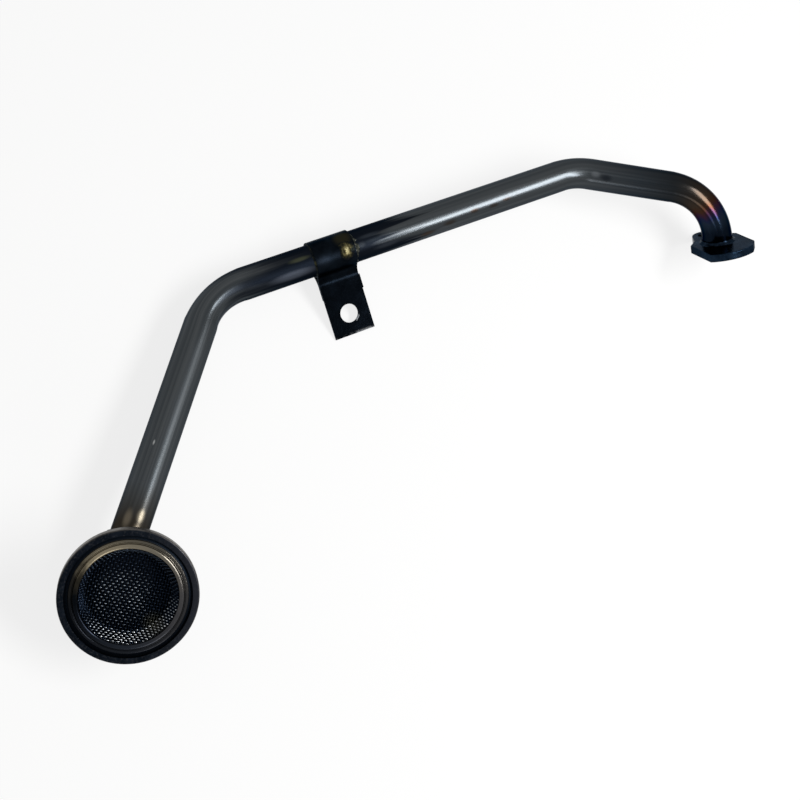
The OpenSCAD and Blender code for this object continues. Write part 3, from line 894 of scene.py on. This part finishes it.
class PICKUP_OT_braze(bpy.types.Operator):
    """Runs lumpy braze fillets round the tube at the flange, the strap and the bell's neck"""
    bl_idname = "pickup.braze"
    bl_label = "Braze"

    def execute(self, context):
        """Fillet carried round the tube.

        The section runs from the tube's wall to the face it joins along an arc that sags towards the corner.
        Its leg swells and thins by a seamless sum of sines round the tube, and at the strap it heaps up in
        front.
        """
        p, c = context.scene.pickup_sizes, context.scene.pickup_finish
        dark = braze_metal("oxidised braze", "#0b121a", "#111a25", "#1d2733", 0.24, 0.08)
        grey = braze_metal("flux-greyed braze", "#12161a", "#33352f", "#82837b", 0.4, 0.25)
        dull = braze_metal("sooted braze", "#0a0e13", "#16191a", "#3c3c2e", 0.42, 0.15)
        lie = rest_turn(p)
        plate = lie @ np.array([0, 0, p.flange_thickness])
        place, turn = strap_frame(p)
        edge = turn[:, 2] * p.strap_width / 2
        _, _, (end, end_turn) = tube_legs(p)
        neck = end - end_turn[:, 2] * p.neck_length
        small = p.small_fillet
        # Piece, node, metal, corner, axes, way along the tube, leg, seed, heap, roughness, hollow
        rings = (
            ("flange_fillet", "flange_braze", dark, plate, lie, 1, p.flange_fillet, 3, 0, 0.05, 0.45),
            ("strap_fillet_near", "strap_braze", grey, place - edge, turn, -1, small, 5, 2.6, 0.35, 0.3),
            ("strap_fillet_far", "strap_braze", dull, place + edge, turn, 1, small, 8, 0.6, 0.14, 0.3),
            ("neck_fillet", "bell_braze", dark, neck, end_turn, -1, small, 13, 0, 0.3, 0.3))
        # The fillet starts this far inside the metal, and a heaped one stays inside the strap's thickness
        sunk, widest = 0.15, 1.35
        angle = circle(160)[:, None]
        front = np.exp(-((angle - radians(95)) / radians(32)) ** 2)
        inner = np.full_like(angle, p.tube_od / 2 - sunk)
        t = np.linspace(0, 1, 9)[None]
        for name, node, finish, origin, axes, way, leg, seed, heap, rough, hollow in rings:
            swell = leg * (0.92 + rough * waves(angle, seed, 2, 14) + heap * front)
            sag = hollow + 0.4 * rough * waves(angle, seed + 1, 3, 17)
            bulge = 4 * t * (1 - t) * (0.25 - sag) * swell
            out = p.tube_od / 2 - sunk + (np.minimum(swell, widest) if heap else swell) * t + bulge
            up = -sunk + swell * (1 - t) + bulge
            out = np.concatenate([out, inner], 1)
            up = np.concatenate([up, np.full_like(angle, -sunk)], 1) * way
            points = around(out, angle, up)
            faces = grid_faces(out.shape[0], out.shape[1], True, True)
            piece(name, points @ axes.T + origin, faces, finish, node)
        self.puddle(p, puddle_brass(c), place, turn)
        return {"FINISHED"}

    def puddle(self, p, finish, place, turn):
        """Puddle of brass on the front of the strap's wrap.

        A lens over a wavy oval, laid round the wrap: its height over the strip is h (1 - q^2) with lumps,
        where q runs from 0 in the middle to 1 at the rim, and its underside lies just inside the strip.
        """
        top_rows, under_rows = 16, 3
        middle, half_length, thick, sunk, under = -7.0, 5.4, 0.75, 0.08, 0.4
        middle_angle, half_angle = radians(92), radians(33)
        q = np.concatenate([np.linspace(0, 1, top_rows), np.linspace(1, 0, under_rows + 1)[1:]])[:, None]
        top = np.concatenate([np.ones(top_rows), np.zeros(under_rows)])[:, None]
        way = circle(72)[None]
        rim = 1 + 0.17 * waves(way, 22, 2, 5)
        along = middle + half_length * q * rim * np.cos(way)
        round_it = middle_angle + half_angle * q * rim * np.sin(way)
        lumps = 0.75 + 0.35 * waves(along * 1.1 + 1, 31, 1, 3) + 0.35 * waves(round_it * 6, 33, 1, 3)
        height = np.where(top > 0, thick * (1 - q ** 2) * lumps - sunk, -under)
        r = p.tube_od / 2 + p.strap_thickness + height
        points = around(r, round_it, along)
        faces = grid_faces(q.shape[0], way.shape[1], False, True)
        drawn = np.outer(np.broadcast_to(q, r.shape), (1, 0, 0))
        close_poles(piece("brass_puddle", points @ turn.T + place, faces, finish, None, drawn))


class PICKUP_OT_stage(bpy.types.Operator):
    """Sets the floor, the lights, the world and the camera"""
    bl_idname = "pickup.stage"
    bl_label = "Stage"

    def execute(self, context):
        """Pale floor under the part, a white world with an even light, two lamps and the photo's view."""
        scene, s = context.scene, context.scene.pickup_stage
        self.floor(scene, s)
        self.world(scene, s)
        self.lamps(scene, s)
        self.camera(scene, s)
        scene.view_settings.view_transform = "Standard"
        return {"FINISHED"}

    def floor(self, scene, s):
        """Paper that looks mostly white, whatever falls on it, and keeps some of the shadow."""
        reach, white_share, low = 6.0, 0.8, CAD_BOX[0][2]
        corners = ((-reach, -reach), (reach, -reach), (reach, reach), (-reach, reach))
        mesh = bpy.data.meshes.new("floor")
        mesh.from_pydata([(x, y, low) for x, y in corners], [], [(0, 1, 2, 3)])
        floor = bpy.data.objects.new("floor", mesh)
        scene.collection.objects.link(floor)
        material, add = new_material("pale paper")
        share = add("Math MULTIPLY", seen_rays(add), white_share)
        paper = add("BsdfDiffuse", ins={"Color": linear(s.floor_hex)})
        white = add("Emission", ins={"Strength": 1.0})
        mixed = add("MixShader", share, paper, white)
        add("OutputMaterial", mixed)
        mesh.materials.append(material)

    def world(self, scene, s):
        """White where it is seen, and an even light of its own strength elsewhere."""
        world = bpy.data.worlds.new("studio")
        add = empty_tree(world)
        even = add("Background", ins={"Strength": s.ambient})
        white = add("Background", ins={"Strength": 1.0})
        mixed = add("MixShader", seen_rays(add), even, white)
        add("OutputWorld", mixed)
        scene.world = world

    def lamps(self, scene, s):
        """Key, a long soft box whose length leans towards the low lamp, and that weak low lamp."""
        middle = (Vector(CAD_BOX[0]) + Vector(CAD_BOX[1])) / 2
        lean = Vector((-0.06, -0.46, -0.13))
        # Name, direction from the part, distance, width, length, power
        lamps = (("key", (0.57, -0.14, 0.81), 1.1, 0.25, 0.94, s.key_power),
                 ("low_fill", (0.10, -0.93, 0.34), 1.2, 0.35, 0.35, s.key_power * 0.08))
        for name, way, distance, width, length, power in lamps:
            light = bpy.data.lights.new(name, "AREA")
            light.shape, light.size, light.size_y, light.energy = "ELLIPSE", width, length, power
            lamp = bpy.data.objects.new(name, light)
            back = Vector(way).normalized()
            across = lean.cross(back).normalized()
            axes = Matrix((across, back.cross(across), back)).transposed()
            lamp.matrix_world = Matrix.Translation(middle + back * distance) @ axes.to_4x4()
            scene.collection.objects.link(lamp)

    def camera(self, scene, s):
        """View of the photo."""
        lens = bpy.data.cameras.new("camera")
        lens.lens, lens.sensor_width, lens.sensor_fit = s.lens, 36, "HORIZONTAL"
        lens.clip_start, lens.clip_end = 0.01, 50
        camera = bpy.data.objects.new("camera", lens)
        back = (Vector(s.eye) - Vector(s.aim)).normalized()
        right = Vector((0, 0, 1)).cross(back).normalized()
        axes = Matrix((right, back.cross(right), back)).transposed() @ Matrix.Rotation(s.roll, 3, "Z")
        camera.matrix_world = Matrix.Translation(s.eye) @ axes.to_4x4()
        scene.collection.objects.link(camera)
        scene.camera = camera


class PICKUP_PT_panel(bpy.types.Panel):
    """Lists the pieces of the pickup tube and their settings"""
    bl_idname = "PICKUP_PT_panel"
    bl_label = "Pickup Tube"
    bl_space_type = "VIEW_3D"
    bl_region_type = "UI"
    bl_category = "Pickup Tube"

    def draw(self, context):
        """A button for each operator, and a box for each group of settings."""
        for maker in OPERATORS:
            self.layout.operator(maker.bl_idname)
        for group in GROUPS:
            settings = getattr(context.scene, group)
            box = self.layout.box()
            for name in settings.bl_rna.properties.keys():
                if name not in ("rna_type", "name"):
                    box.prop(settings, name)


GROUPS = {"pickup_sizes": PickupSizes, "pickup_finish": PickupFinish, "pickup_stage": PickupStage}
OPERATORS = (PICKUP_OT_tube, PICKUP_OT_plates, PICKUP_OT_strainer, PICKUP_OT_screen, PICKUP_OT_braze,
             PICKUP_OT_stage)
CLASSES = (*GROUPS.values(), *OPERATORS, PICKUP_PT_panel)


def register():
    """Adds the classes, and the groups of settings to the scene."""
    for item in CLASSES:
        bpy.utils.register_class(item)
    for name, group in GROUPS.items():
        setattr(bpy.types.Scene, name, bpy.props.PointerProperty(type=group))


def unregister():
    """Takes away what register added."""
    for name in GROUPS:
        delattr(bpy.types.Scene, name)
    for item in reversed(CLASSES):
        bpy.utils.unregister_class(item)


def main():
    """Makes every piece and the stage."""
    register()
    bpy.ops.pickup.tube()
    bpy.ops.pickup.plates()
    bpy.ops.pickup.strainer()
    bpy.ops.pickup.screen()
    bpy.ops.pickup.braze()
    bpy.ops.pickup.stage()


if __name__ == "__main__":
    main()
